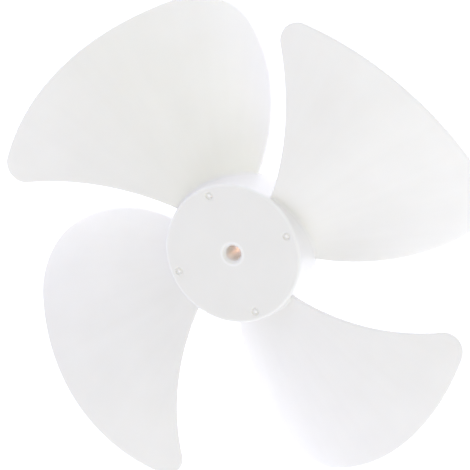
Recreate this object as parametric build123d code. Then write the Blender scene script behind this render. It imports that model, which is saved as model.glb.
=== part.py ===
"""Four-bladed cooling fan, moulded in one piece, in millimetres.

The origin is on the shaft axis, in the plane of the hub's closed front face, and +Z points out of that face.
Angles are in degrees, counter-clockwise seen from the front. Those of a blade's plan start at its span axis.
"""
import math
import os

from build123d import *

# Whole fan
fan_diameter = 254.0
blade_count = 4
first_blade_angle = 141.0

# Hub cup, closed in front and open behind
hub_diameter = 72.0
hub_depth = 25.0
hub_wall = 2.2
hub_face_thickness = 2.8
hub_draft = 0.5
hub_front_chamfer = 0.8

# Shaft boss: a bore with a broken mouth, and a slot across the rear end for the shaft's cross pin
bore_diameter = 8.0
bore_mouth_chamfer = 0.8
boss_diameter = 18.0
boss_draft = 1.0
boss_setback = 1.0
pin_slot_width = 3.4
pin_slot_depth = 4.5

# Ribs from the boss to the wall, inside the cup
rib_count = 8
rib_thickness = 1.8
rib_depth = 13.0

# Marks of the mould's four pin gates on the front face: round recesses, each around the low cone of its stub
gate_count = 4
gate_first_angle = 20.0
gate_circle_diameter = 62.5
gate_recess_diameter = 4.2
gate_recess_depth = 0.6
gate_stub_setback = 0.1

# Blade plan: a hollow leading edge, the tip circle and a bulging trailing edge, with rounded corners
leading_root_angle = 2.6
leading_tip_angle = 25.6
leading_hollow = 9.0
leading_corner_radius = 9.5
trailing_root_angle = -61.5
trailing_tip_angle = -43.0
trailing_bulge = 14.4
trailing_corner_radius = 30.5

# Blade sections, square to the span axis: arcs of one camber radius, less steep towards the tip.
# The pitch angle is the slope at the span axis, and the drop the depth there below the hub's front face.
camber_radius = 170.0
root_pitch_angle = 21.8
middle_pitch_angle = 13.3
tip_pitch_angle = 10.1
root_drop = 7.6
middle_drop = 1.4
tip_drop = -1.0
root_thickness = 2.6
tip_thickness = 1.7
blade_root_chamfer = 1.0

# How far a sheet or a cutting tool reaches past the surface that it ends at, and how near counts as touching
overrun = 3.0
touching = 0.01

hub_radius = hub_diameter / 2
tip_radius = fan_diameter / 2
bore_radius = bore_diameter / 2
boss_end = hub_depth - boss_setback
blade_root_radius = hub_radius - hub_wall / 2


def polar(radius, angle):
    """The point at a distance and an angle from the shaft axis."""
    return Vector(radius, 0, 0).rotate(Axis.Z, angle)


def around(count, first_angle):
    """The turns that set out a pattern in equal steps about the shaft axis."""
    return [Rot(0, 0, first_angle + 360 * i / count) for i in range(count)]


def wall_radius(depth):
    """Outer radius of the hub wall, which widens with its draft, at a depth behind the front face."""
    return hub_radius + depth * math.tan(math.radians(hub_draft))


def corner(sketch, x, y):
    """The corner of a sketch that lies nearest to a place."""
    return sketch.vertices().sort_by_distance((x, y))[0]


def hub_section():
    """Half section of the cup and the boss, with radius along x and height along y."""
    rear_radius = wall_radius(hub_depth)
    face_inside = -hub_face_thickness
    inner_front = wall_radius(hub_face_thickness) - hub_wall
    boss_rear = boss_diameter / 2
    boss_front = boss_rear + (boss_end - hub_face_thickness) * math.tan(math.radians(boss_draft))
    section = Polygon(
        (bore_radius, 0),
        (hub_radius, 0),
        (rear_radius, -hub_depth),
        (rear_radius - hub_wall, -hub_depth),
        (inner_front, face_inside),
        (boss_front, face_inside),
        (boss_rear, -boss_end),
        (bore_radius, -boss_end),
        align=None,
    )
    section = chamfer(corner(section, bore_radius, 0), bore_mouth_chamfer)
    return chamfer(corner(section, hub_radius, 0), hub_front_chamfer)


def ribs():
    """Straight ribs that tie the boss to the wall, behind the face."""
    start = (bore_radius + boss_diameter / 2) / 2
    height = rib_depth - hub_face_thickness / 2
    rib = Pos(start, 0, -rib_depth) * Box(
        blade_root_radius - start, rib_thickness, height, align=(Align.MIN, Align.CENTER, Align.MIN)
    )
    return [turn * rib for turn in around(rib_count, gate_first_angle)]


def hub():
    """The revolved cup with its ribs and the slot for the shaft's pin.

    The revolved section starts midway between two blades, so that the seam is clear of the blade roots.
    """
    gap_angle = first_blade_angle + (leading_root_angle + trailing_root_angle + 360 / blade_count) / 2
    cup = Rot(0, 0, gap_angle) * revolve(Plane.XZ * hub_section(), Axis.Z)
    slot = Pos(0, 0, -boss_end) * Box(boss_diameter + overrun, pin_slot_width, 2 * pin_slot_depth)
    return cup + ribs() - Rot(0, 0, gate_first_angle + 180 / rib_count) * slot


def gate_marks():
    """The cuts for the gate marks: round recesses in the front face, each around the cone of its stub."""
    recess_radius = gate_recess_diameter / 2
    half_section = Polygon(
        (0, 0),
        (recess_radius, 0),
        (recess_radius, -gate_recess_depth),
        (0, -gate_stub_setback),
        align=None,
    )
    mark = Pos(gate_circle_diameter / 2, 0, 0) * revolve(Plane.XZ * half_section, Axis.Z)
    return [turn * mark for turn in around(gate_count, gate_first_angle)]


def blade_plan():
    """Outline of one blade seen along the shaft, ending inside the hub wall."""
    root = blade_root_radius - overrun
    leading_root = polar(root, leading_root_angle)
    leading_tip = polar(tip_radius, leading_tip_angle)
    trailing_tip = polar(tip_radius, trailing_tip_angle)
    trailing_root = polar(root, trailing_root_angle)
    plan = make_face([
        SagittaArc(leading_root, leading_tip, -leading_hollow),
        CenterArc((0, 0), tip_radius, leading_tip_angle, trailing_tip_angle - leading_tip_angle),
        SagittaArc(trailing_tip, trailing_root, trailing_bulge),
        Polyline(trailing_root, (0, 0), leading_root),
    ])
    plan = fillet(corner(plan, leading_tip.X, leading_tip.Y), leading_corner_radius)
    plan = fillet(corner(plan, trailing_tip.X, trailing_tip.Y), trailing_corner_radius)
    return plan - Circle(blade_root_radius)


def blade_section(station, drop, pitch, thickness):
    """A strip between two arcs, across the span axis at a distance from the shaft."""
    slope = math.radians(pitch)
    centre = (-camber_radius * math.sin(slope), -drop - camber_radius * math.cos(slope))
    leading_reach = tip_radius * math.sin(math.radians(leading_tip_angle)) + overrun
    trailing_reach = tip_radius * math.sin(math.radians(-trailing_root_angle)) + overrun
    start = 90 - pitch + math.degrees(leading_reach / camber_radius)
    sweep = -math.degrees((leading_reach + trailing_reach) / camber_radius)
    front = CenterArc(centre, camber_radius + thickness / 2, start, sweep)
    rear = CenterArc(centre, camber_radius - thickness / 2, start, sweep)
    strip = make_face([front, Line(front @ 1, rear @ 1), rear, Line(rear @ 0, front @ 0)])
    return Plane((station, 0, 0), x_dir=(0, -1, 0), z_dir=(-1, 0, 0)) * strip


def blade():
    """One blade along +X: a sheet lofted through three sections and cut to the plan."""
    root_station = blade_root_radius * math.cos(math.radians(trailing_root_angle)) - overrun
    tip_station = tip_radius + overrun
    middle_station = (root_station + tip_station) / 2
    middle_thickness = (root_thickness + tip_thickness) / 2
    sheet = loft([
        blade_section(root_station, root_drop, root_pitch_angle, root_thickness),
        blade_section(middle_station, middle_drop, middle_pitch_angle, middle_thickness),
        blade_section(tip_station, tip_drop, tip_pitch_angle, tip_thickness),
    ])
    return sheet & extrude(blade_plan(), tip_radius, both=True)


def is_blade_root(edge):
    """True for the long curves in which a blade's front and rear run into the hub wall."""
    if edge.geom_type in (GeomType.LINE, GeomType.CIRCLE) or edge.length < hub_depth:
        return False
    ends_and_middle = [edge @ 0, edge @ 0.5, edge @ 1]
    return all(
        abs(math.hypot(point.X, point.Y) - wall_radius(-point.Z)) < touching for point in ends_and_middle
    )


def fan():
    """The whole moulding: hub and blades in one.

    The blade roots are thickened in front. Behind, they run out at the cup's rim and stay square.
    """
    one_blade = blade()
    body = hub() + [turn * one_blade for turn in around(blade_count, first_blade_angle)]
    roots = body.edges().filter_by(is_blade_root)
    front_roots = roots.sort_by(lambda edge: (edge @ 0.5).Z)[-blade_count:]
    return chamfer(front_roots, blade_root_chamfer) - gate_marks()


if __name__ == "__main__":
    os.makedirs("parts", exist_ok=True)
    export_step(fan(), "parts/fan_blade.step")
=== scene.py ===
# %% [markdown]
# # A white moulded cooling fan
#
# This lesson dresses a packed CAD model of a four-bladed fan, the kind that cools the motor of a small
# appliance. The CAD part is loaded first and stays as it is. A finer mesh then takes its place, because a
# photograph shows what CAD facets leave out: rounded blade edges, soft root fillets and the skin of the
# plastic.

# %% Load the CAD part
import math

import bmesh
import bpy
from mathutils import Matrix, Vector


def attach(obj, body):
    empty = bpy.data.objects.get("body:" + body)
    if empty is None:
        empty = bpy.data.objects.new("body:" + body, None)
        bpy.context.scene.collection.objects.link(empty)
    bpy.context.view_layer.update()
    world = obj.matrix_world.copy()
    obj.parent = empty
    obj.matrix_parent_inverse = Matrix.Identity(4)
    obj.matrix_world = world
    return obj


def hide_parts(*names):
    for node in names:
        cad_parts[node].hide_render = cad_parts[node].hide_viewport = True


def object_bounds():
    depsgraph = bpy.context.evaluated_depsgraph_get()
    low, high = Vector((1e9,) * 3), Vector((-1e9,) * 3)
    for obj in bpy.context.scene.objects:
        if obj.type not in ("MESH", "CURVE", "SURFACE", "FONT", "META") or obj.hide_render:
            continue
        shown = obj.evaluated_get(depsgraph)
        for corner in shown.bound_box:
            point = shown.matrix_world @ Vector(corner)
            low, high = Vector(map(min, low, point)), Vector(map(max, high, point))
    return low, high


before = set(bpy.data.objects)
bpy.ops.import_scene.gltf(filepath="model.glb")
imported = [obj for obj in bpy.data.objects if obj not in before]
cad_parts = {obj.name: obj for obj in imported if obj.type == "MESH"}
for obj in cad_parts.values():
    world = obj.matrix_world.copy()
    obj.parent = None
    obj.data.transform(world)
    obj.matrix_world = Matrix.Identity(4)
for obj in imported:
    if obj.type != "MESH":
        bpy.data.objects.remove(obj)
cad_box = [list(corner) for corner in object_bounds()]
print("CAD box in metres:", [[round(x, 4) for x in corner] for corner in cad_box])

# %% [markdown]
# ## Camera
#
# The photograph looks down on the hub's face from about 27 degrees off the shaft, through a long lens.
# A Track To constraint could aim the camera, but it may roll the picture. A camera with no rotation looks
# straight down the shaft with its top towards +Y, and turning it about one level axis leans it over
# without any roll, which is how the fan was seen. The values were fitted to the photograph.

# %% Camera at the photograph's angle
MM = 0.001
PHOTO_PIXELS = 470
SENSOR_WIDTH = 36.0
LEAN = math.radians(27.158)
LEAN_HEADING = math.radians(216.9)
# The size of a pixel at the hub, and the camera's place in such pixels: right, up and away
PIXEL = 0.49706 * MM
AIM_PIXELS = (2.77, 19.0)
DISTANCE_PIXELS = 2828.5

heading = Matrix.Rotation(LEAN_HEADING, 3, "Z")
turn = heading @ Matrix.Rotation(-LEAN, 3, "Y") @ heading.inverted()
camera_data = bpy.data.cameras.new("photo_camera")
camera_data.sensor_width = SENSOR_WIDTH
camera_data.lens = SENSOR_WIDTH * DISTANCE_PIXELS / PHOTO_PIXELS
camera_data.clip_end = 20.0
camera = bpy.data.objects.new("photo_camera", camera_data)
camera_place = turn @ Vector((*AIM_PIXELS, DISTANCE_PIXELS)) * PIXEL
camera.matrix_world = Matrix.Translation(camera_place) @ turn.to_4x4()
bpy.context.scene.collection.objects.link(camera)
bpy.context.scene.camera = camera
print("Camera", round(camera.location.length, 3), "m from the hub, lens", round(camera_data.lens, 1), "mm")

# %% [markdown]
# ## Turned shapes
#
# The hub is a cup with a boss in it, round like something off a lathe. It could be built from cylinders
# and a Bevel modifier, but tapered walls and corners of different radii are easier to write down as a half
# section: a list of corners, each with its own rounding. Two helpers round the corners and cut long straight
# stretches into short ones, which keeps the faces even.

# %% Round the corners of a section
ROUNDING_STEPS = 6


def rounded(corners, steps=ROUNDING_STEPS):
    """Points along a closed section whose corners, given as (radius, height, rounding), are rounded."""
    points = []
    for i, (radius, height, rounding) in enumerate(corners):
        here = Vector((radius, height))
        before = (Vector(corners[i - 1][:2]) - here).normalized()
        after = (Vector(corners[(i + 1) % len(corners)][:2]) - here).normalized()
        if rounding == 0:
            points.append(here)
            continue
        half = before.angle(after) / 2
        centre = here + (before + after).normalized() * rounding / math.sin(half)
        first = here + before * rounding / math.tan(half) - centre
        last = here + after * rounding / math.tan(half) - centre
        sweep = first.angle_signed(last)
        for step in range(steps + 1):
            points.append(centre + Matrix.Rotation(-sweep * step / steps, 2) @ first)
    return points


def divided(points, length):
    """The same closed section with its long straight stretches cut to about a length."""
    fine = []
    for i, start in enumerate(points):
        span = points[(i + 1) % len(points)] - start
        parts = max(1, round(span.length / length))
        fine += [start + span * part / parts for part in range(parts)]
    return fine


trial_square = rounded([(1, 0, 0.1), (2, 0, 0.1), (2, 1, 0.1), (1, 1, 0.1)])
print("A rounded square has", len(trial_square), "points, divided", len(divided(trial_square, 0.2)))

# %% [markdown]
# A Screw modifier turns a section too. Here bmesh does it, so that a section that touches the axis, such as
# the gate cutter's, is welded shut there and its faces point outwards before anything is cut with it.

# %% Turn a section about the shaft
WELD_DISTANCE = 1e-7
SLIVER_LENGTH = 1e-8


def turned(name, section, segments):
    """A closed mesh made by turning a section about the Z axis."""
    mesh = bpy.data.meshes.new(name)
    bm = bmesh.new()
    rings = []
    for k in range(segments):
        angle = 2 * math.pi * k / segments
        across, along = math.cos(angle), math.sin(angle)
        rings.append([bm.verts.new((point.x * across, point.x * along, point.y)) for point in section])
    for k in range(segments):
        one, two = rings[k], rings[(k + 1) % segments]
        for j in range(len(section)):
            after = (j + 1) % len(section)
            bm.faces.new((one[j], two[j], two[after], one[after]))
    bmesh.ops.remove_doubles(bm, verts=bm.verts, dist=WELD_DISTANCE)
    bmesh.ops.dissolve_degenerate(bm, edges=bm.edges, dist=SLIVER_LENGTH)
    bmesh.ops.recalc_face_normals(bm, faces=bm.faces)
    bm.to_mesh(mesh)
    bm.free()
    return mesh


TRIAL_SEGMENTS = 24
trial_ring = turned("trial_ring", trial_square, TRIAL_SEGMENTS)
print("The square turned in", TRIAL_SEGMENTS, "steps has", len(trial_ring.polygons), "faces")
bpy.data.meshes.remove(trial_ring)

# %% [markdown]
# ## Hub
#
# The front face is closed and flat, with a rounded rim and a broken mouth at the shaft bore. Behind it the
# cup is hollow, with a boss for the shaft. Real hubs taper a little so that they leave the mould, and so
# does this one. A plain cylinder would show a hard dark line at its rim where the photograph has a soft
# light one. An extra corner near the rim and near the bore keeps their shading off the big flat face.

# %% Sizes of the hub
HUB_RADIUS = 36.0 * MM
HUB_DEPTH = 25.0 * MM
HUB_WALL = 2.2 * MM
HUB_FACE = 2.8 * MM
HUB_DRAFT = math.tan(math.radians(0.5))
BORE_RADIUS = 4.0 * MM
BOSS_RADIUS = 9.0 * MM
BOSS_END = 24.0 * MM
BOSS_DRAFT = math.tan(math.radians(1.0))
MOUTH_WIDTH = 1.3 * MM
MOUTH_DEPTH = 1.4 * MM
MOUTH_INNER_ROUNDING = 0.5 * MM
MOUTH_OUTER_ROUNDING = 0.4 * MM
RIM_ROUNDING = 1.5 * MM
REAR_ROUNDING = 0.35 * MM
BORE_REAR_ROUNDING = 0.3 * MM
INSIDE_ROUNDING = 1.2 * MM
FLAT_MARGIN = 2.0 * MM
print("Hub", 2 * HUB_RADIUS / MM, "mm wide and", HUB_DEPTH / MM, "mm deep")

# %% Turn the hub
SECTION_STEP = 1.6 * MM
HUB_SEGMENTS = 192

rear_radius = HUB_RADIUS + HUB_DEPTH * HUB_DRAFT
inner_front = HUB_RADIUS + HUB_FACE * HUB_DRAFT - HUB_WALL
boss_front = BOSS_RADIUS + (BOSS_END - HUB_FACE) * BOSS_DRAFT
hub_corners = [
    (BORE_RADIUS, -BOSS_END, BORE_REAR_ROUNDING),
    (BORE_RADIUS, -MOUTH_DEPTH, MOUTH_INNER_ROUNDING),
    (BORE_RADIUS + MOUTH_WIDTH, 0, MOUTH_OUTER_ROUNDING),
    (BORE_RADIUS + FLAT_MARGIN, 0, 0),
    (HUB_RADIUS - FLAT_MARGIN, 0, 0),
    (HUB_RADIUS, 0, RIM_ROUNDING),
    (rear_radius, -HUB_DEPTH, REAR_ROUNDING),
    (rear_radius - HUB_WALL, -HUB_DEPTH, REAR_ROUNDING),
    (inner_front, -HUB_FACE, INSIDE_ROUNDING),
    (boss_front, -HUB_FACE, INSIDE_ROUNDING),
    (BOSS_RADIUS, -BOSS_END, REAR_ROUNDING),
]
hub_section = divided(rounded(hub_corners), SECTION_STEP)
fan = bpy.data.objects.new("fan", turned("fan", hub_section, HUB_SEGMENTS))
bpy.context.scene.collection.objects.link(fan)
print("Hub section of", len(hub_section), "points, mesh of", len(fan.data.polygons), "faces")

# %% [markdown]
# ## Cutter for a gate mark
#
# Plastic entered this mould through four pin gates near the rim. Each left a small round recess, so that
# the broken stub of plastic in its middle can't stand proud of the face. A bump map could fake the marks,
# but they are wide enough to catch light on one side, so they are cut. The cutter is turned like the hub.

# %% Turn the gate cutter
GATE_SEGMENTS = 40
GATE_ROUNDING_STEPS = 4
# Radius, height and rounding of each corner in millimetres
GATE_SECTION = [
    (0.00, 0.50, 0.00),   # top of the cutter, clear of the hub's face
    (2.45, 0.50, 0.00),
    (2.45, 0.00, 0.00),   # mouth of the recess in the face
    (2.10, -0.12, 0.20),
    (2.00, -0.75, 0.25),  # floor of the recess
    (1.00, -0.70, 0.20),  # foot of the stub
    (0.85, -0.15, 0.35),
    (0.00, -0.01, 0.00),  # top of the stub
]
gate_corners = [tuple(value * MM for value in row) for row in GATE_SECTION]
gate_mesh = turned("gate_cutter", rounded(gate_corners, GATE_ROUNDING_STEPS), GATE_SEGMENTS)
gate_cutter = bpy.data.objects.new("gate_cutter", gate_mesh)
bpy.context.scene.collection.objects.link(gate_cutter)
print("Gate cutter of", len(gate_mesh.polygons), "faces")

# %% [markdown]
# ## Plan of a blade
#
# Seen along the shaft, a blade is bounded by five arcs: a hollow leading edge, the tip circle, a bulging
# trailing edge and two rounded corners. A drawn curve could trace them, but arcs worked out from a few sizes
# land exactly on the CAD part's edges. Two small sums do most of the work: the circle through two points
# with a given bulge, and the point at given distances from two centres.

# %% Circles through points and points on circles
def polar(radius, degrees):
    """The point at a distance and an angle from the shaft."""
    return Vector((radius * math.cos(math.radians(degrees)), radius * math.sin(math.radians(degrees))))


def heading_of(vector):
    """The angle of a direction, counter-clockwise from +X."""
    return math.atan2(vector.y, vector.x)


def swing(first, last):
    """The shorter way round from one angle to another."""
    return (last - first + math.pi) % (2 * math.pi) - math.pi


def circle_by_height(start, end, height):
    """Centre and radius of the arc that stands a height to the right of the line from start to end."""
    chord = end - start
    right = Vector((chord.y, -chord.x)).normalized()
    radius = (chord.length ** 2 / 4 + height ** 2) / (2 * height)
    return (start + end) / 2 + right * (height - radius), radius


def meeting(centre_a, radius_a, centre_b, radius_b, near):
    """The point at two distances from two centres, on the side of a place."""
    line = centre_b - centre_a
    along = (radius_a ** 2 - radius_b ** 2 + line.length_squared) / (2 * line.length)
    across = math.sqrt(radius_a ** 2 - along ** 2)
    unit = line.normalized()
    side = Vector((-unit.y, unit.x))
    found = [centre_a + unit * along + side * across * sign for sign in (1, -1)]
    return min(found, key=lambda point: (point - near).length)


trial_arc = circle_by_height(Vector((0, 0)), Vector((0, 2)), 1)
print("An arc as high as half its chord has radius", trial_arc[1])

# %% [markdown]
# The rounded corners touch the edge and the tip circle, so their centres lie at known distances from both.
# All arcs are written down in one way: centre, radius, first angle, sweep, and whether the radius grows (1)
# or shrinks (-1) when the outline moves inwards. Each corner is split in the middle, because the blade's grid
# has a corner there too.

# %% Arcs of the two edges
TIP_RADIUS = 127.0 * MM
ROOT_RADIUS = HUB_RADIUS - HUB_WALL / 2
OVERRUN = 3.0 * MM
# The edges' arcs start inside the hub wall, as the CAD part's do, and the mesh just under the wall's skin
EDGE_START = ROOT_RADIUS - OVERRUN
BLADE_START = 35.2 * MM
LEADING = {"root": 2.6, "tip": 25.6, "height": 9.0 * MM, "corner": 9.5 * MM, "grows": 1}
TRAILING = {"root": -61.5, "tip": -43.0, "height": 14.4 * MM, "corner": 30.5 * MM, "grows": -1}
SHAFT = Vector((0, 0))


def edge_arcs(root, tip, height, corner, grows):
    """Arcs of one side of a blade, the edge and its tip corner, and the angle where the tip circle begins."""
    start, end = polar(EDGE_START, root), polar(TIP_RADIUS, tip)
    centre, radius = circle_by_height(start, end, height)
    corner_centre = meeting(SHAFT, TIP_RADIUS - corner, centre, radius + grows * corner, end)
    inner = meeting(SHAFT, BLADE_START, centre, radius, start)
    to_corner = heading_of(corner_centre - centre)
    first = heading_of(inner - centre)
    edge = (centre, radius, first, swing(first, to_corner), grows)
    corner_first = to_corner if grows < 0 else to_corner + math.pi
    corner_sweep = swing(corner_first, heading_of(corner_centre)) / 2
    low = (corner_centre, corner, corner_first, corner_sweep, -1)
    high = (corner_centre, corner, corner_first + corner_sweep, corner_sweep, -1)
    return edge, low, high, heading_of(corner_centre)


lead_edge, lead_low, lead_high, lead_tip = edge_arcs(**LEADING)
trail_edge, trail_low, trail_high, trail_tip = edge_arcs(**TRAILING)
print("Leading edge radius", round(lead_edge[1] / MM, 1), "mm, trailing", round(trail_edge[1] / MM, 1), "mm")

# %% [markdown]
# A side of the blade is a chain of arcs, each with the share of the grid's steps that it gets. Short tight
# arcs get more steps than their length would give them, so that they look round.

# %% Sides of the plan
LEADING_SHARES = (0.8, 0.2)
TRAILING_SHARES = (0.74, 0.26)
TIP_SHARES = (0.14, 0.68, 0.18)


def reversed_arc(arc):
    """The same arc, run through from its other end."""
    centre, radius, first, sweep, grows = arc
    return centre, radius, first + sweep, -sweep, grows


tip_arc = (SHAFT, TIP_RADIUS, lead_tip, swing(lead_tip, trail_tip), -1)
leading_side = list(zip((lead_edge, lead_low), LEADING_SHARES))
trailing_side = list(zip((trail_edge, trail_low), TRAILING_SHARES))
tip_side = list(zip((lead_high, tip_arc, reversed_arc(trail_high)), TIP_SHARES))
print("Tip circle sweeps", round(math.degrees(abs(tip_arc[3])), 1), "degrees between the corners")

# %% [markdown]
# ## Arithmetic with nodes
#
# Geometry Nodes work out a blade's surface from a rule, and the materials use sums as well. Long sums of
# Math nodes are hard to read when each is made by hand, so this small class lets the script write them as
# plain arithmetic and adds the Math nodes for them.

# %% Numbers that live in a node tree
class Number:
    """A value in a node tree. Arithmetic with it adds Math nodes."""

    def __init__(self, tree, socket):
        self.tree, self.socket = tree, socket

    def math(self, operation, *others, clamp=False):
        node = self.tree.nodes.new("ShaderNodeMath")
        node.operation, node.use_clamp = operation, clamp
        for value, place in zip((self, *others), node.inputs):
            plug(self.tree, value, place)
        return Number(self.tree, node.outputs[0])

    def __add__(self, other):
        return self.math("ADD", other)

    def __sub__(self, other):
        return self.math("SUBTRACT", other)

    def __mul__(self, other):
        return self.math("MULTIPLY", other)

    def __truediv__(self, other):
        return self.math("DIVIDE", other)

    __radd__, __rmul__ = __add__, __mul__

    def __rsub__(self, other):
        return self * -1 + other

    def root(self):
        return self.math("MAXIMUM", 0.0).math("SQRT")

    def cos(self):
        return self.math("COSINE")

    def sin(self):
        return self.math("SINE")

    def least(self, other):
        return self.math("MINIMUM", other)

    def clamped(self):
        """The same value, held between 0 and 1."""
        return self.math("ADD", 0.0, clamp=True)


print("Numbers know", [name for name in vars(Number) if not name.startswith("_")])

# %% [markdown]
# Three more helpers feed a socket, make a node with its inputs fed in one line, and make a tree with named
# inputs and outputs. The kind of each input follows from its first value, and None stands for geometry. A
# trial sum shows them at work.

# %% Nodes and trees in one line
SOCKET_KINDS = {
    int: "NodeSocketInt",
    float: "NodeSocketFloat",
    Vector: "NodeSocketVector",
    type(None): "NodeSocketGeometry",
}


def plug(tree, value, place):
    """Feeds a socket from a Number, another socket or a plain value."""
    if isinstance(value, Number):
        value = value.socket
    if isinstance(value, bpy.types.NodeSocket):
        tree.links.new(value, place)
    else:
        place.default_value = value


def add(tree, kind, *values, **settings):
    """A new node with its settings made and its first inputs fed."""
    node = tree.nodes.new(kind)
    for name, setting in settings.items():
        setattr(node, name, setting)
    for value, place in zip(values, node.inputs):
        if value is not None:
            plug(tree, value, place)
    return node


def new_tree(name, inputs, outputs, kind="GeometryNodeTree"):
    """A node tree with named inputs and outputs, its input Numbers by name, and its output node."""
    tree = bpy.data.node_groups.new(name, kind)
    for label, value in inputs.items():
        socket = tree.interface.new_socket(label, in_out="INPUT", socket_type=SOCKET_KINDS[type(value)])
        if value is not None:
            socket.default_value = value
    for label, socket_kind in outputs.items():
        tree.interface.new_socket(label, in_out="OUTPUT", socket_type=socket_kind)
    start, end = tree.nodes.new("NodeGroupInput"), tree.nodes.new("NodeGroupOutput")
    return tree, {label: Number(tree, start.outputs[label]) for label in inputs}, end


trial_tree, trial, trial_end = new_tree("Trial", {"Side": 1.0}, {"Area": "NodeSocketFloat"})
plug(trial_tree, trial["Side"] * trial["Side"], trial_end.inputs["Area"])
print("A square's area takes", [node.bl_label for node in trial_tree.nodes])
bpy.data.node_groups.remove(trial_tree)

# %% [markdown]
# ## Height of a blade's skin
#
# A fan blade is a thin curved sheet. It could be modelled by hand with a subdivided cage, but the CAD part
# follows a rule, and the same rule in nodes lands on the same surface. Cut square to its span, the blade is
# an arc of one camber radius. Slope, depth and thickness are given at the root, the middle and the tip, and
# a parabola runs between them. Side is 1 for the front skin and -1 for the rear one.

# %% Sections of the blade
ROOT_THICKNESS = 2.6 * MM
TIP_THICKNESS = 1.7 * MM
SECTIONS = {
    "Root Pitch": math.radians(21.8),
    "Middle Pitch": math.radians(13.3),
    "Tip Pitch": math.radians(10.1),
    "Root Drop": 7.6 * MM,
    "Middle Drop": 1.4 * MM,
    "Tip Drop": -1.0 * MM,
    "Root Thickness": ROOT_THICKNESS,
    "Middle Thickness": (ROOT_THICKNESS + TIP_THICKNESS) / 2,
    "Tip Thickness": TIP_THICKNESS,
    "Camber Radius": 170.0 * MM,
    "Root Station": ROOT_RADIUS * math.cos(math.radians(TRAILING["root"])) - OVERRUN,
    "Tip Station": TIP_RADIUS + OVERRUN,
}
stations = [round(SECTIONS[end + " Station"] / MM, 1) for end in ("Root", "Tip")]
print("Sections run from and to these distances from the shaft in mm:", stations)

# %% [markdown]
# The group first finds how far along the span a place is, from -1 at the root section to 1 at the tip one.
# Each skin is then part of a circle, and its height follows from the circle's centre and radius.

# %% Node group for the height
height_tree, given, height_end = new_tree(
    "Blade height", {"Span": 0.0, "Across": 0.0, "Side": 1.0, **SECTIONS}, {"Height": "NodeSocketFloat"}
)
middle_station = (given["Root Station"] + given["Tip Station"]) * 0.5
along_span = (given["Span"] - middle_station) / (given["Tip Station"] - middle_station)


def through_sections(root, middle, tip):
    """The parabola through the values at three sections."""
    return middle + along_span * (tip - root) * 0.5 + along_span * along_span * ((root + tip) * 0.5 - middle)


camber = given["Camber Radius"]
at_sections = {"sine": [], "cosine": [], "shift": [], "depth": []}
for station in ("Root", "Middle", "Tip"):
    sine, cosine = given[station + " Pitch"].sin(), given[station + " Pitch"].cos()
    radius = camber + given["Side"] * given[station + " Thickness"] * 0.5
    at_sections["sine"].append(radius * sine)
    at_sections["cosine"].append(radius * cosine)
    at_sections["shift"].append(camber * sine)
    at_sections["depth"].append(camber * cosine + given[station + " Drop"])
sine, cosine, shift, depth = (through_sections(*values) for values in at_sections.values())
offset = given["Across"] + shift
height = (sine * sine + cosine * cosine - offset * offset).root() - depth
plug(height_tree, height, height_end.inputs["Height"])
print("Blade height group has", len(height_tree.nodes), "nodes")

# %% [markdown]
# ## One blade
#
# A Solidify modifier could thicken a sheet, but its rim would be square, and a moulded edge is rounded over.
# So a flat grid is pushed out into a thin box, and every corner of the box is then moved to its place. Rows
# run from the root to the tip and columns from the leading to the trailing edge. Their numbers are stored
# before the push, so that both skins know them.

# %% A thin box with numbered rows and columns
BOX_WELD = 1e-4
BLADE_SIZES = {
    "Columns": 60,
    "Rows": 84,
    "Edge Rounding": 0.75 * MM,
    "Root Fillet": 1.6 * MM,
    "Wall Radius": HUB_RADIUS,
    "Wall Draft": HUB_DRAFT,
    "Wall Depth": HUB_DEPTH,
}
blade_tree, size, blade_end = new_tree(
    "Fan blade", {**BLADE_SIZES, **SECTIONS}, {"Blade": "NodeSocketGeometry"}
)
column_length = size["Rows"] + 1
grid = add(blade_tree, "GeometryNodeMeshGrid", 1.0, 1.0, size["Columns"] + 1, column_length)
index = Number(blade_tree, blade_tree.nodes.new("GeometryNodeInputIndex").outputs[0])
column_number = (index / column_length).math("FLOOR")
row_number = index - column_number * column_length
marked = grid.outputs["Mesh"]
for label, number in (("column", column_number), ("row", row_number)):
    marked = add(blade_tree, "GeometryNodeStoreNamedAttribute", marked, None, label, number).outputs[0]
pushed = add(blade_tree, "GeometryNodeExtrudeMesh", marked, None, None, 1.0, False, mode="FACES")
underside = add(blade_tree, "GeometryNodeFlipFaces", marked)
shell = blade_tree.nodes.new("GeometryNodeJoinGeometry")
for half_of_box in (pushed, underside):
    blade_tree.links.new(half_of_box.outputs[0], shell.inputs[0])
welded = add(blade_tree, "GeometryNodeMergeByDistance", shell.outputs[0], None, BOX_WELD)
print("Box for a blade of", BLADE_SIZES["Columns"], "columns and", BLADE_SIZES["Rows"], "rows")

# %% [markdown]
# The outermost rings of the grid follow a quarter circle over the rim, which rounds the edge. A ring's
# number gives its angle on that circle and how far it lies inside the outline. The shares u and v run across
# the blade and along it, and v is bent so that rows crowd near the root, where the fillet needs them.

# %% Rings over the rim
ROUND_RINGS = 4
ROOT_CROWDING = 2.1


def stored(label):
    """A number that was stored on the grid before the push."""
    return Number(blade_tree, add(blade_tree, "GeometryNodeInputNamedAttribute", label).outputs[0])


column, row = stored("column"), stored("row")
position = add(blade_tree, "GeometryNodeInputPosition").outputs[0]
box_height = Number(blade_tree, add(blade_tree, "ShaderNodeSeparateXYZ", position).outputs["Z"])
side = box_height.math("GREATER_THAN", 0.5) * 2 - 1
ring = column.least(size["Columns"] - column).least(size["Rows"] - row).least(ROUND_RINGS)
u = (column - ring) / (size["Columns"] - ring * 2)
v = (row / (size["Rows"] - ring)).math("POWER", ROOT_CROWDING)
over_rim = ring * (math.pi / 2 / ROUND_RINGS)
inset = size["Edge Rounding"] * (1 - over_rim.cos())
print(ROUND_RINGS, "rings round each edge, in steps of", 90 / ROUND_RINGS, "degrees")

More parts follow.
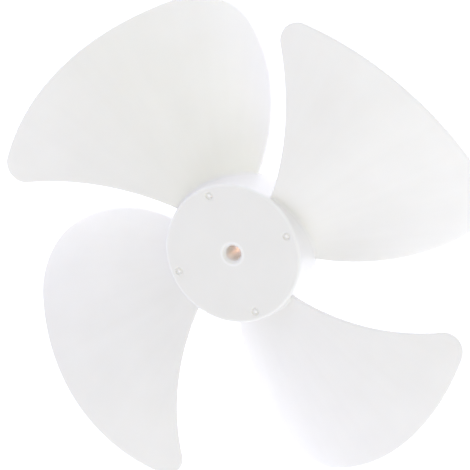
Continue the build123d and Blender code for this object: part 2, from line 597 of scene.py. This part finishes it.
# %% [markdown]
# In plan the grid is stretched between the four sides, which is called a Coons patch: what the two edges
# give, plus what root and tip give, less what both have in common. A side is walked by share, and each of
# its arcs adds its own part of the way.

# %% Stretch the grid between its sides
def follow(side, share, inset):
    """Plan place at a share of the way along a side, moved inwards by an inset."""
    x = y = done = 0.0
    for (centre, radius, first, sweep, grows), part in side:
        radius = inset * grows + radius
        if done == 0.0:
            x, y = radius * math.cos(first) + centre.x, radius * math.sin(first) + centre.y
        angle = ((share - done) / part).clamped() * sweep + first
        x = x + radius * (angle.cos() - math.cos(first))
        y = y + radius * (angle.sin() - math.sin(first))
        done += part
    return x, y


def between(one, two, share):
    """The value at a share of the way from one value to another."""
    return one + (two - one) * share


zero = Number(blade_tree, add(blade_tree, "ShaderNodeValue").outputs[0])
lead_0, lead_1, lead_v = (follow(leading_side, share, inset) for share in (zero, zero + 1, v))
trail_0, trail_1, trail_v = (follow(trailing_side, share, inset) for share in (zero, zero + 1, v))
tip_u = follow(tip_side, u, inset)
root_angle = between(*[y.math("ARCTAN2", x) for x, y in (lead_0, trail_0)], u)
root_length = between(*[(x * x + y * y).root() for x, y in (lead_0, trail_0)], u)
root_u = (root_length * root_angle.cos(), root_length * root_angle.sin())
plan = []
for k in (0, 1):
    lead_bend = lead_v[k] - between(lead_0[k], lead_1[k], v)
    trail_bend = trail_v[k] - between(trail_0[k], trail_1[k], v)
    plan.append(between(lead_bend, trail_bend, u) + between(root_u[k], tip_u[k], v))
x, y = plan
print("The plan of a blade takes", len(blade_tree.nodes), "nodes so far")

# %% [markdown]
# The height group gives both skins at each place of the plan. A corner of the box goes to the middle between
# them, plus or minus half their distance, less what the rounded edge takes away.

# %% Lift the plan to its height
skins = []
for which in (1.0, -1.0):
    group = add(blade_tree, "GeometryNodeGroup", node_tree=height_tree)
    for label in SECTIONS:
        plug(blade_tree, size[label], group.inputs[label])
    plug(blade_tree, x, group.inputs["Span"])
    plug(blade_tree, y * -1, group.inputs["Across"])
    plug(blade_tree, which, group.inputs["Side"])
    skins.append(Number(blade_tree, group.outputs["Height"]))
middle, half = (skins[0] + skins[1]) * 0.5, (skins[0] - skins[1]) * 0.5
z = middle + side * (half - size["Edge Rounding"] * (1 - over_rim.sin()))
print("Front and rear skin use", len(SECTIONS), "sizes each")

# %% [markdown]
# Where a blade runs into the hub, the mould leaves a fillet, because a sharp inner corner would crack. A
# Bevel modifier struggles with such a curved joint, so the skin itself flares there: along a quarter circle
# with the gap to the wall, fading out at both ends of the root and stopping short of the cup's rear rim.

# %% Flare the skin into the root fillets
FILLET_FADE = 14  # the fillet fades out over one fourteenth of the root at each end
RIM_CLEARANCE = 0.4 * MM

gap = (x * x + y * y).root() - size["Wall Radius"] + z * size["Wall Draft"]
near = (1 - gap / size["Root Fillet"]).clamped()
fade = (u.least(1 - u) * FILLET_FADE).clamped()
fade = fade * fade * (3 - fade * 2)
flare = size["Root Fillet"] * (1 - (1 - near * near).root()) * fade
room_behind = (z + size["Wall Depth"] - RIM_CLEARANCE).math("MAXIMUM", 0.0)
front = (side + 1) * 0.5
z = z + flare * front - flare.least(room_behind) * (1 - front)
place = add(blade_tree, "ShaderNodeCombineXYZ", x, y, z).outputs[0]
moved = add(blade_tree, "GeometryNodeSetPosition", welded.outputs[0], None, place)
plug(blade_tree, moved.outputs[0], blade_end.inputs["Blade"])
print("Blade tree has", len(blade_tree.nodes), "nodes")

# %% [markdown]
# ## Patterns about the shaft
#
# Blades, ribs and gate marks all repeat in equal steps about the shaft. An Array modifier with an object
# offset could do it for one of them. One small tree does it for all: a point for each copy, turned to face
# outwards, with the shape put on it and made real.

# %% Node tree for a pattern
pattern_tree, rule, pattern_end = new_tree(
    "Around the shaft",
    {"Shape": None, "Count": 4, "First Angle": 0.0, "Reach": 0.0},
    {"Pattern": "NodeSocketGeometry"},
)
copy_number = Number(pattern_tree, pattern_tree.nodes.new("GeometryNodeInputIndex").outputs[0])
copy_angle = rule["First Angle"] + copy_number * (2 * math.pi) / rule["Count"]
spot_x, spot_y = rule["Reach"] * copy_angle.cos(), rule["Reach"] * copy_angle.sin()
spot = add(pattern_tree, "ShaderNodeCombineXYZ", spot_x, spot_y)
facing = add(pattern_tree, "ShaderNodeCombineXYZ", 0.0, 0.0, copy_angle)
spots = add(pattern_tree, "GeometryNodePoints", rule["Count"], spot.outputs[0])
copies = add(
    pattern_tree, "GeometryNodeInstanceOnPoints",
    spots.outputs[0], None, rule["Shape"], None, None, facing.outputs[0],
)
real = add(pattern_tree, "GeometryNodeRealizeInstances", copies.outputs[0])
plug(pattern_tree, real.outputs[0], pattern_end.inputs["Pattern"])
print("Pattern tree has", len(pattern_tree.nodes), "nodes")

# %% [markdown]
# ## The moulding
#
# The real part left its mould in one piece, so its skin is closed and nothing just pokes through the hub.
# Loose pieces pushed into each other would look alike from afar, but their joints would show. A boolean
# tree joins them: the turned hub goes in, blades and ribs are added, and slot and gate marks are cut away.

# %% Sizes of the whole fan
GATE_COUNT = 4
GATE_ANGLE = math.radians(20)
GATE_REACH = 31.25 * MM
RIB_COUNT = 8
FAN_SIZES = {
    "Blade Count": 4,
    "First Blade Angle": math.radians(141),
    "Rib Count": RIB_COUNT,
    "Rib Angle": GATE_ANGLE,
    "Rib Thickness": 1.8 * MM,
    "Rib Depth": 13.0 * MM,
    "Gate Count": GATE_COUNT,
    "Gate Angle": GATE_ANGLE,
    "Gate Reach": GATE_REACH,
    "Slot Angle": GATE_ANGLE + math.pi / RIB_COUNT,
    "Slot Width": 3.4 * MM,
    "Slot Depth": 4.5 * MM,
    "Crease Angle": math.radians(35),
}
fan_tree, made, fan_end = new_tree("Moulded fan", {"Hub": None, **FAN_SIZES}, {"Fan": "NodeSocketGeometry"})
fan_tree.is_modifier = True
print("The fan's tree has", len(FAN_SIZES), "named sizes")

# %% [markdown]
# Three helpers keep the tree readable: one sets out copies with the pattern tree, one makes a box at a place,
# and one joins or cuts. The Manifold solver is fast and leaves a closed skin when it gets closed shapes.

# %% Copies, boxes and booleans
def pattern(shape, count, angle, reach=0.0):
    """Copies of a shape about the shaft."""
    group = add(fan_tree, "GeometryNodeGroup", node_tree=pattern_tree)
    for value, socket in zip((shape, count, angle, reach), group.inputs):
        plug(fan_tree, value, socket)
    return group.outputs[0]


def block(length, width, height, centre):
    """A box of a size, set at a place."""
    extent = add(fan_tree, "ShaderNodeCombineXYZ", length, width, height)
    cube = add(fan_tree, "GeometryNodeMeshCube", extent.outputs[0])
    put = add(fan_tree, "GeometryNodeTransform", cube.outputs[0])
    plug(fan_tree, add(fan_tree, "ShaderNodeCombineXYZ", *centre).outputs[0], put.inputs["Translation"])
    return put.outputs[0]


def boolean(operation, first, others):
    """Shapes joined to each other, or cut from the first one."""
    node = add(fan_tree, "GeometryNodeMeshBoolean", operation=operation, solver="MANIFOLD")
    if first is not None:
        plug(fan_tree, first, node.inputs["Mesh 1"])
    for other in others:
        plug(fan_tree, other, node.inputs["Mesh 2"])
    return node.outputs["Mesh"]


print("Helpers:", [helper.__name__ for helper in (pattern, block, boolean)])

# %% [markdown]
# Eight straight ribs tie the boss to the wall behind the face, and a slot across the boss's rear end takes
# the shaft's cross pin. Both are plain boxes that reach into the hub, so that no gap can open at their ends.

# %% Blades, ribs, slot and gate marks
blade = add(fan_tree, "GeometryNodeGroup", node_tree=blade_tree)
blades = pattern(blade.outputs[0], made["Blade Count"], made["First Blade Angle"])
rib_start, rib_end, rib_top = (BORE_RADIUS + BOSS_RADIUS) / 2, ROOT_RADIUS, -HUB_FACE / 2
rib_middle = ((rib_start + rib_end) / 2, 0.0, (made["Rib Depth"] * -1 + rib_top) * 0.5)
rib = block(rib_end - rib_start, made["Rib Thickness"], made["Rib Depth"] + rib_top, rib_middle)
ribs = pattern(rib, made["Rib Count"], made["Rib Angle"])
slot_length = 2 * BOSS_RADIUS + OVERRUN
slot_block = block(slot_length, made["Slot Width"], made["Slot Depth"] * 2, (0.0, 0.0, -BOSS_END))
slot = pattern(slot_block, 1, made["Slot Angle"])
cutter = add(fan_tree, "GeometryNodeObjectInfo", gate_cutter)
gates = pattern(cutter.outputs["Geometry"], made["Gate Count"], made["Gate Angle"], made["Gate Reach"])
print("Ribs run from", round(rib_start / MM, 1), "to", round(rib_end / MM, 1), "mm from the shaft")

# %% [markdown]
# After the booleans, edges sharper than about 35 degrees stay crisp and all the rest is shaded smooth. The
# tree ends with real geometry in one material, which is what the export can read.

# %% Join, cut and shade
joined = boolean("UNION", None, (made["Hub"], ribs, blades))
cut = boolean("DIFFERENCE", joined, (slot, gates))
smooth = add(fan_tree, "GeometryNodeSetShadeSmooth", cut, None, True, domain="FACE")
edge_angle = Number(fan_tree, add(fan_tree, "GeometryNodeInputMeshEdgeAngle").outputs[0])
sharp = edge_angle.math("GREATER_THAN", made["Crease Angle"])
crisp = add(fan_tree, "GeometryNodeSetShadeSmooth", smooth.outputs[0], sharp, False, domain="EDGE")
plastic = bpy.data.materials.new("white_plastic")
real = add(fan_tree, "GeometryNodeRealizeInstances", crisp.outputs[0])
painted = add(fan_tree, "GeometryNodeSetMaterial", real.outputs[0], None, plastic)
plug(fan_tree, painted.outputs[0], fan_end.inputs["Fan"])
print("Fan tree has", len(fan_tree.nodes), "nodes")

# %% [markdown]
# A live modifier would be worked out again after each change. The result is kept as a plain mesh instead. The
# tree's sizes are set by socket identifier before the first run, because a name alone doesn't reach a
# modifier's input. Counting open edges shows whether the skin is closed.

# %% Run the tree and keep the plain mesh
modifier = fan.modifiers.new("Moulded fan", "NODES")
modifier.node_group = fan_tree
for item in fan_tree.interface.items_tree:
    if item.in_out == "INPUT" and item.name in FAN_SIZES:
        modifier[item.identifier] = FAN_SIZES[item.name]
moulded = bpy.data.meshes.new_from_object(fan.evaluated_get(bpy.context.evaluated_depsgraph_get()))
fan.modifiers.clear()
fan.data = moulded
bpy.data.objects.remove(gate_cutter)
check = bmesh.new()
check.from_mesh(moulded)
triangles = sum(len(face.verts) - 2 for face in check.faces)
open_edges = sum(not edge.is_manifold for edge in check.edges)
volume = check.calc_volume() / MM ** 3
check.free()
print("Fan mesh:", triangles, "triangles,", open_edges, "open edges,", round(volume), "mm3")

# %% [markdown]
# ## Mottle
#
# No moulded or rolled surface is one flat tone. This shader group gives two things that both the plastic and
# the paper under it use: a soft cloud of lighter and darker patches, and a fine grain. Each material could
# have noises of its own, but a group is built once and reads whatever coordinates and scales it is given.

# %% Shader group for the mottle
PATCH_DETAIL = 3.0
GRAIN_DETAIL = 2.0
mottle_tree, look, mottle_end = new_tree(
    "Fine mottle",
    {"Vector": Vector((0, 0, 0)), "Patch Scale": 60.0, "Grain Scale": 3000.0},
    {"Patches": "NodeSocketFloat", "Grain": "NodeSocketFloat"},
    "ShaderNodeTree",
)
for scale, detail, output in (
    ("Patch Scale", PATCH_DETAIL, "Patches"),
    ("Grain Scale", GRAIN_DETAIL, "Grain"),
):
    noise = add(mottle_tree, "ShaderNodeTexNoise")
    plug(mottle_tree, look["Vector"], noise.inputs["Vector"])
    plug(mottle_tree, look[scale], noise.inputs["Scale"])
    plug(mottle_tree, detail, noise.inputs["Detail"])
    plug(mottle_tree, noise.outputs[0], mottle_end.inputs[output])
print("Mottle group has", len(mottle_tree.nodes), "nodes")

# %% [markdown]
# ## White plastic
#
# The fan is a satin white plastic. One flat colour would look like paint, so its tone follows how the part
# was moulded, and painted highlights and painted light at the thin tips are added to it. The material reads
# Object coordinates, which are metres from the hub's face and the shaft, so most masks below are plain
# distances.

# %% Where the plastic is
PLASTIC_PATCHES = 45.0
PLASTIC_GRAIN = 2600.0

plastic.use_nodes = True
ink = plastic.node_tree
skin = ink.nodes["Principled BSDF"]
where = add(ink, "ShaderNodeTexCoord").outputs["Object"]
mottle = add(ink, "ShaderNodeGroup", where, PLASTIC_PATCHES, PLASTIC_GRAIN, node_tree=mottle_tree)
patches, grain = (Number(ink, mottle.outputs[label]) for label in ("Patches", "Grain"))
axes = add(ink, "ShaderNodeSeparateXYZ", where)
px, py, pz = (Number(ink, axes.outputs[axis]) for axis in "XYZ")
from_shaft = (px * px + py * py).root()
print("Plastic coordinates take", len(ink.nodes), "nodes")

# %% [markdown]
# Round each gate the melt cooled while it still moved, which leaves a dull halo. The stub that broke off
# there is painted lighter, a painted highlight. Four masks could be placed by hand. Folding the four quarters
# of the part onto one needs a single distance.

# %% Halo and painted stub highlight at the gates
HALO_REACH = 9.0 * MM
STUB_REACH = 0.8 * MM
STUB_SPREAD = 1.6  # the stub's mask is full inside 0.6 reaches and gone at 1.6

gate_step = 2 * math.pi / GATE_COUNT
bearing = py.math("ARCTAN2", px)
folded = (bearing - (GATE_ANGLE - gate_step / 2)).math("FLOORED_MODULO", gate_step) - gate_step / 2
gx, gy = from_shaft * folded.cos() - GATE_REACH, from_shaft * folded.sin()
to_gate = (gx * gx + gy * gy + pz * pz).root()
halo = (1 - to_gate / HALO_REACH).clamped()
halo = halo * halo
# Painted highlight: the stub in each gate mark is made lighter in colour
stub_highlight = (STUB_SPREAD - to_gate / STUB_REACH).clamped()
print("Gate masks repeat every", round(math.degrees(gate_step)), "degrees")

# %% [markdown]
# From the hub outwards, faint streaks show how the melt flowed into the blades. A noise that is stretched
# along the radius draws them. Blades get thinner towards their tips, and their colour is painted lighter
# there: painted light that stands for light coming through the thin plastic.

# %% Streaks and painted light at the thin tips
# Noise steps per radian round the shaft and per metre along the radius
STREAKS_AROUND = 16
STREAKS_ALONG = 14
BLADE_FADE = 12.0 * MM
TIP_LIGHT_START = 55.0 * MM
TIP_LIGHT_FADE = 72.0 * MM

around_x, around_y = px / from_shaft * STREAKS_AROUND, py / from_shaft * STREAKS_AROUND
streak_place = add(ink, "ShaderNodeCombineXYZ", around_x, around_y, from_shaft * STREAKS_ALONG)
streak_noise = add(ink, "ShaderNodeTexNoise")
plug(ink, streak_place.outputs[0], streak_noise.inputs["Vector"])
plug(ink, 1.0, streak_noise.inputs["Scale"])
streaks = Number(ink, streak_noise.outputs[0])
on_blade = ((from_shaft - HUB_RADIUS) / BLADE_FADE).clamped()
# Painted light: the colour gets lighter from here out to the tips
painted_tip_light = ((from_shaft - TIP_LIGHT_START) / TIP_LIGHT_FADE).clamped()
print("Streaks fade in over", round(BLADE_FADE / MM), "mm outside the hub")

# %% [markdown]
# The hub's rim and the lip round the bore are painted lighter in their colour: painted highlights, thin light
# lines that stand for light scattered out of these corners. Pointiness could find such corners, but it
# depends on the mesh. Both corners are rings round the shaft, so the distance to a ring finds them on any
# mesh.

# %% Painted highlights on the rim and the bore's lip
# Radius, height and width of each painted highlight line. The rim's lies in the middle of its rounding.
RIM_HIGHLIGHT_RING = (35.56 * MM, -0.44 * MM, 1.4 * MM)
LIP_HIGHLIGHT_RING = (5.8 * MM, 0.0, 0.9 * MM)


def near_ring(radius, height, width):
    """How near the surface is to a ring around the shaft: 1 on the ring and 0 beyond the width."""
    across, along = from_shaft - radius, pz - height
    return (1 - (across * across + along * along).root() / width).clamped()


# Masks of the painted highlight lines on the rim and the lip
rim_highlight, lip_highlight = near_ring(*RIM_HIGHLIGHT_RING), near_ring(*LIP_HIGHLIGHT_RING)
print("Light lines at", [round(ring_sizes[0] / MM, 1) for ring_sizes in (RIM_HIGHLIGHT_RING, LIP_HIGHLIGHT_RING)], "mm")

# %% [markdown]
# All masks meet in one tone between a duller and a brighter white. The rim, lip and stub highlights and the
# light at the tips are painted into it. Whites differ by little, so a small step is enough to tell a blade's
# tip from its root.

# %% Tone and colour
DULL_WHITE = (0.855, 0.845, 0.827, 1)
BRIGHT_WHITE = (0.935, 0.930, 0.922, 1)
BASE_TONE = 0.22
RIM_HIGHLIGHT = 0.9
LIP_HIGHLIGHT = 1.1
STUB_HIGHLIGHT = 0.9
TIP_LIGHT_LIFT = 0.42
PATCH_TONE = 0.6
STREAK_TONE = 0.3
HALO_TONE = 0.2

patch_swing = patches - 0.5
streak_swing = (streaks - 0.5) * on_blade
# Painted highlights on the rim, lip and stubs, and painted light at the thin tips
painted_lift = rim_highlight * RIM_HIGHLIGHT + lip_highlight * LIP_HIGHLIGHT + stub_highlight * STUB_HIGHLIGHT + painted_tip_light * TIP_LIGHT_LIFT
tone = BASE_TONE + painted_lift + patch_swing * PATCH_TONE + streak_swing * STREAK_TONE - halo * HALO_TONE
colour = add(ink, "ShaderNodeMix", data_type="RGBA")
plug(ink, tone.clamped(), colour.inputs["Factor"])
colour.inputs["A"].default_value = DULL_WHITE
colour.inputs["B"].default_value = BRIGHT_WHITE
plug(ink, colour.outputs["Result"], skin.inputs["Base Color"])
print("Whites from", DULL_WHITE[:3], "to", BRIGHT_WHITE[:3])

# %% [markdown]
# The finish is satin. The patches, the streaks and the halo change its gloss a little, and the mould's fine
# grain is a very low bump. Some light enters the plastic and comes out nearby, which softens shadows at the
# thin edges: that is what subsurface scattering is for.

# %% Gloss, grain and scattering
SATIN = 0.36
PATCH_GLOSS = 0.12
STREAK_GLOSS = 0.08
HALO_GLOSS = 0.12
SCATTER_COLOURS = (1.0, 0.92, 0.82)

gloss = SATIN + patch_swing * PATCH_GLOSS + streak_swing * STREAK_GLOSS + halo * HALO_GLOSS
plug(ink, gloss, skin.inputs["Roughness"])
bump = add(ink, "ShaderNodeBump")
plug(ink, grain, bump.inputs["Height"])
plug(ink, 0.12, bump.inputs["Strength"])
plug(ink, 0.03 * MM, bump.inputs["Distance"])
plug(ink, bump.outputs["Normal"], skin.inputs["Normal"])
plug(ink, 1.46, skin.inputs["IOR"])
plug(ink, 0.25, skin.inputs["Subsurface Weight"])
plug(ink, 1.2 * MM, skin.inputs["Subsurface Scale"])
skin.inputs["Subsurface Radius"].default_value = SCATTER_COLOURS
print("Plastic material of", len(ink.nodes), "nodes")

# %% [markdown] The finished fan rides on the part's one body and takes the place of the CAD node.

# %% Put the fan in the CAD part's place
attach(fan, "root")
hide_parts("fan_blade")
print("The fan stands in for the CAD part with", len(fan.data.vertices), "corners")

# %% [markdown]
# ## Paper
#
# White goods are often photographed on a lit white sheet, so that the ground burns out to plain white and
# shows no shadow. A white world alone could do that too, but then the fan would float in views from other
# sides. So the sheet is a real plane at the part's lowest point, as it would be on a table.

# %% Sheet under the fan
PAPER_REACH = 6.0

floor_height = cad_box[0][2]
sheet_corners = [
    (side_x * PAPER_REACH, side_y * PAPER_REACH, floor_height)
    for side_x, side_y in ((-1, -1), (1, -1), (1, 1), (-1, 1))
]
floor_mesh = bpy.data.meshes.new("floor")
floor_mesh.from_pydata(sheet_corners, [], [(0, 1, 2, 3)])
floor = bpy.data.objects.new("floor", floor_mesh)
bpy.context.scene.collection.objects.link(floor)
print("Paper", round(-floor_height / MM, 1), "mm below the hub's face")

# %% [markdown]
# Paper is a mat of fibres, a little cloudy when light falls on it. The mottle group gives it both, at larger
# scales than on the plastic. Its grain is too fine to show from a distance.

# %% Paper
PAPER_PATCHES = 12.0
PAPER_GRAIN = 900.0
PAPER_TONE = 0.74
PAPER_MOTTLE = 0.04

paper = bpy.data.materials.new("paper")
paper.use_nodes = True
pulp = paper.node_tree
sheet = pulp.nodes["Principled BSDF"]
on_sheet = add(pulp, "ShaderNodeTexCoord").outputs["Object"]
fibres = add(pulp, "ShaderNodeGroup", on_sheet, PAPER_PATCHES, PAPER_GRAIN, node_tree=mottle_tree)
cloud, fibre = (Number(pulp, fibres.outputs[label]) for label in ("Patches", "Grain"))
paper_tone = cloud * PAPER_MOTTLE + fibre * PAPER_MOTTLE + PAPER_TONE
paper_colour = add(pulp, "ShaderNodeCombineColor", paper_tone, paper_tone, paper_tone)
plug(pulp, paper_colour.outputs[0], sheet.inputs["Base Color"])
plug(pulp, 0.9, sheet.inputs["Roughness"])
floor_mesh.materials.append(paper)
print("Paper of tone", PAPER_TONE, "to", PAPER_TONE + 2 * PAPER_MOTTLE)

# %% [markdown]
# The sheet glows under the fan, and the glow fades out further away, where only lamps and sky light the
# paper. That leaves it light grey there, so that white blades stand out against it in low views. Seen from
# behind, the sheet is clear, so that the fan's rear can be looked at from below.

# %% Glow that fades outwards
PAPER_GLOW = (0.720, 0.732, 0.820, 1)
NO_GLOW = (0, 0, 0, 1)
GLOW_REACH = 0.18
GLOW_FADE = 0.15

sheet_axes = add(pulp, "ShaderNodeSeparateXYZ", on_sheet)
fx, fy = (Number(pulp, sheet_axes.outputs[axis]) for axis in "XY")
away = (fx * fx + fy * fy).root()
fading = add(pulp, "ShaderNodeMix", data_type="RGBA")
plug(pulp, ((away - GLOW_REACH) / GLOW_FADE).clamped(), fading.inputs["Factor"])
fading.inputs["A"].default_value = PAPER_GLOW
fading.inputs["B"].default_value = NO_GLOW
plug(pulp, fading.outputs["Result"], sheet.inputs["Emission Color"])
plug(pulp, 1.0, sheet.inputs["Emission Strength"])
backfacing = add(pulp, "ShaderNodeNewGeometry").outputs["Backfacing"]
clear = add(pulp, "ShaderNodeBsdfTransparent")
one_sided = add(pulp, "ShaderNodeMixShader", backfacing, sheet.outputs[0], clear.outputs[0])
plug(pulp, one_sided.outputs[0], pulp.nodes["Material Output"].inputs["Surface"])
print("Paper glows out to", round((GLOW_REACH + GLOW_FADE) / MM), "mm from the shaft")

# %% [markdown]
# ## Sky
#
# A studio's white walls light a white part from all sides, and a plain world colour does the same without
# any walls. The camera sees a light grey instead, because white blades would be lost against a white wall.
# The Standard view keeps whites white, where a film-like view would grey them.

# %% Sky
SKY_LIGHT = (0.602, 0.595, 0.698, 1)
BACKDROP_GREY = (0.66, 0.66, 0.68, 1)

world = bpy.data.worlds.new("studio")
world.use_nodes = True
sky = world.node_tree
glow = sky.nodes["Background"]
glow.inputs["Color"].default_value = SKY_LIGHT
backdrop = add(sky, "ShaderNodeBackground", BACKDROP_GREY, 1.0)
camera_ray = add(sky, "ShaderNodeLightPath").outputs["Is Camera Ray"]
seen = add(sky, "ShaderNodeMixShader", camera_ray, glow.outputs[0], backdrop.outputs[0])
plug(sky, seen.outputs[0], sky.nodes["World Output"].inputs["Surface"])
bpy.context.scene.world = world
bpy.context.scene.view_settings.view_transform = "Standard"
print("Sky of", len(sky.nodes), "nodes")

# %% [markdown]
# ## Lamps
#
# Five wide lamps give the blades their different greys. The strongest comes from below the picture, a second
# fills from the upper left, and a high yellowish one tints the blade that turns towards it. Two weak low ones
# reach the hub's wall and the blades' rims. Area lamps would need a place and a size each. Sun lamps with a
# wide angle are as soft and need a direction only. Their strengths were fitted to the photograph's tones.

# %% Wide lamps
LAMP_ANGLE = math.radians(50)
# Direction and height in degrees, and the light that each colour gets
LAMPS = {
    "below": (278, 30, (0.256, 0.261, 0.266)),
    "upper_left": (138, 30, (0.144, 0.148, 0.157)),
    "upper_right": (20, 62, (0.118, 0.128, 0.020)),
    "rim": (42, 10, (0.092, 0.095, 0.118)),
    "lower_left": (208, 10, (0.072, 0.072, 0.070)),
}
for name, (azimuth, elevation, tint) in LAMPS.items():
    light = bpy.data.lights.new(name, "SUN")
    light.angle = LAMP_ANGLE
    light.energy = math.pi * max(tint)
    light.color = [channel / max(tint) for channel in tint]
    lamp = bpy.data.objects.new(name, light)
    lamp.rotation_euler = (0, math.radians(90 - elevation), math.radians(azimuth))
    bpy.context.scene.collection.objects.link(lamp)
    print("Lamp", name, "at", azimuth, "degrees, strength", round(light.energy, 2))

# %% [markdown]
# In the photograph the deep bore looks warm, as if light seeped into it through the plastic of the boss.
# Scattering alone is too weak for that here, so a small warm spot lamp behind the boss stands for it. Its
# cone is about as narrow as the bore, so it hardly lights anything else.

# %% Warm light in the bore
SEEP_DEPTH = 34.0 * MM

seep = bpy.data.lights.new("seep", "SPOT")
seep.energy = 0.0066
seep.color = (1.0, 0.43, 0.15)
seep.spot_size = math.radians(40)
seep.spot_blend = 0.2
seep.shadow_soft_size = 1.5 * MM
seep_lamp = bpy.data.objects.new("seep", seep)
seep_lamp.location = (0, 0, -SEEP_DEPTH)
seep_lamp.rotation_euler = (math.pi, 0, 0)
bpy.context.scene.collection.objects.link(seep_lamp)
print("Warm lamp", round(SEEP_DEPTH / MM), "mm behind the hub's face")

# %% [markdown] The finer mesh stands in the CAD part's place, so both should fill nearly the same box.
